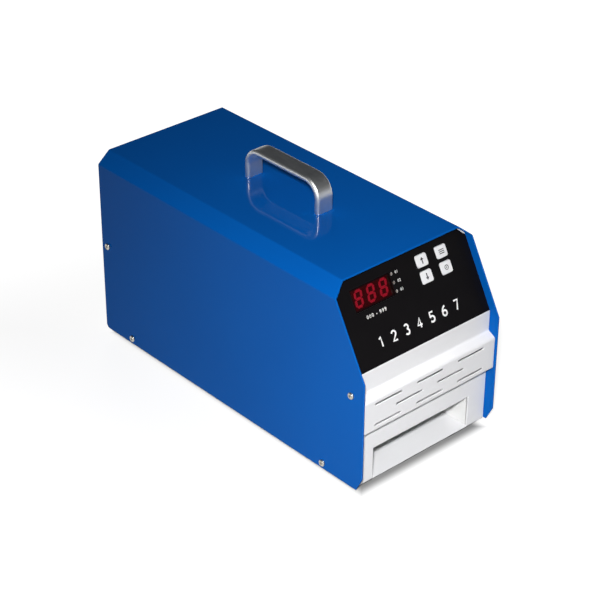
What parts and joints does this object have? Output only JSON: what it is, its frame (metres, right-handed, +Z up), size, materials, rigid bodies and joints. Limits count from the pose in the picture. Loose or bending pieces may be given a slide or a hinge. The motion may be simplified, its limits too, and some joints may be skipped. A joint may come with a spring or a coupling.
{
  "type": "flash stamp machine",
  "caption": "Bench machine with a folded blue cover, slanted control panel with digits and keys, louvred hood, stamp exposure chamber, carrying handle, flash lamps and rear fan.",
  "frame": {"origin": "on the table, under the middle of the cover", "axes": "+X to the right seen from the front, +Y from the front to the back, +Z up"},
  "size_m": [0.1538, 0.33, 0.208],
  "materials": {
    "blue_paint": "gloss",
    "white_paint": "satin",
    "black_film": "semi-gloss printed film",
    "red_window": "gloss, see-through",
    "white_key": "satin",
    "black_plastic": "fine texture",
    "digit_body": "matt",
    "lit_segment": "lit",
    "lamp_lens": "gloss",
    "circuit_board": "lacquered",
    "plated_steel": "zinc plated",
    "screw_steel": "plated",
    "handle_alloy": "satin",
    "foot_rubber": "matt",
    "clear_glass": "clear",
    "gasket_rubber": "matt",
    "polished_alloy": "polished",
    "tube_glass": "clear",
    "end_cap": "satin",
    "white_ceramic": "glazed",
    "capacitor_sleeve": "sleeve",
    "relay_case": "gloss",
    "coil_body": "lacquered",
    "black_alloy": "anodised",
    "terminal_green": "matt",
    "fuse_glass": "clear",
    "brass_clip": "bright",
    "core_steel": "lacquered laminations",
    "coil_tape": "tape",
    "fan_plastic": "matt",
    "guard_wire": "bright",
    "rocker_plastic": "gloss",
    "ribbon_grey": "matt",
    "plug_white": "matt",
    "lead_insulation": "matt"
  },
  "bodies": {
    "machine": {"board_screws": "screw_steel", "board_standoffs": "plated_steel", "capacitors": "capacitor_sleeve", "chamber_back": "white_paint", "chamber_rail_left": "white_paint", "chamber_rail_right": "white_paint", "chassis": "white_paint", "clinch_nuts": "plated_steel", "control_board": "circuit_board", "cover": "blue_paint", "digit_segments": "lit_segment", "display_window": "red_window", "fan_frame": "fan_plastic", "fan_guard": "guard_wire", "feet": "foot_rubber", "flash_tubes": "tube_glass", "foot_screws": "screw_steel", "frame_screws": "screw_steel", "front_panel": "white_paint", "fuse": "fuse_glass", "fuse_clips": "brass_clip", "glass_gasket": "gasket_rubber", "glass_plate": "clear_glass", "handle": "handle_alloy", "handle_screws": "screw_steel", "heatsink": "black_alloy", "holder_screws": "screw_steel", "indicator_lamps": "lamp_lens", "inlet_pins": "brass_clip", "key_switches": "black_plastic", "lamp_housing": "plated_steel", "lamp_posts": "plated_steel", "led_digits": "digit_body", "mains_leads": "lead_insulation", "panel_overlay": "black_film", "power_board": "circuit_board", "power_inlet": "black_plastic", "power_transistor": "black_plastic", "rear_screws": "screw_steel", "reflector": "polished_alloy", "relay": "relay_case", "ribbon_cable": "ribbon_grey", "ribbon_plugs": "plug_white", "side_screws": "screw_steel", "switch_housing": "black_plastic", "switch_tabs": "brass_clip", "terminal_block": "terminal_green", "transformer_coil": "coil_tape", "transformer_core": "core_steel", "transformer_strap": "plated_steel", "trigger_coil": "coil_body", "tube_caps": "end_cap", "tube_holders": "white_ceramic"},
    "key_up": {"key_up": "white_key"},
    "key_down": {"key_down": "white_key"},
    "key_mode": {"key_mode": "white_key"},
    "key_confirm": {"key_confirm": "white_key"},
    "fan_rotor": {"fan_rotor": "fan_plastic"},
    "switch_rocker": {"switch_rocker": "rocker_plastic"}
  },
  "joints": [
    {"name": "key_up_press", "type": "slide", "parent": "machine", "child": "key_up", "axis": [0, 0.875, -0.4841], "range_m": [0, 0.0006], "stiffness_N_per_m": 800},
    {"name": "key_down_press", "type": "slide", "parent": "machine", "child": "key_down", "axis": [0, 0.875, -0.4841], "range_m": [0, 0.0006], "stiffness_N_per_m": 800},
    {"name": "key_mode_press", "type": "slide", "parent": "machine", "child": "key_mode", "axis": [0, 0.875, -0.4841], "range_m": [0, 0.0006], "stiffness_N_per_m": 800},
    {"name": "key_confirm_press", "type": "slide", "parent": "machine", "child": "key_confirm", "axis": [0, 0.875, -0.4841], "range_m": [0, 0.0006], "stiffness_N_per_m": 800},
    {"name": "fan_spin", "type": "hinge", "parent": "machine", "child": "fan_rotor", "pos_m": [-0.032, 0.15, 0.119], "axis": [0, 1, 0], "continuous": true},
    {"name": "switch_rock", "type": "hinge", "parent": "machine", "child": "switch_rocker", "pos_m": [0.04, 0.1591, 0.09], "axis": [1, 0, 0], "range_deg": [0, 18]}
  ]
}
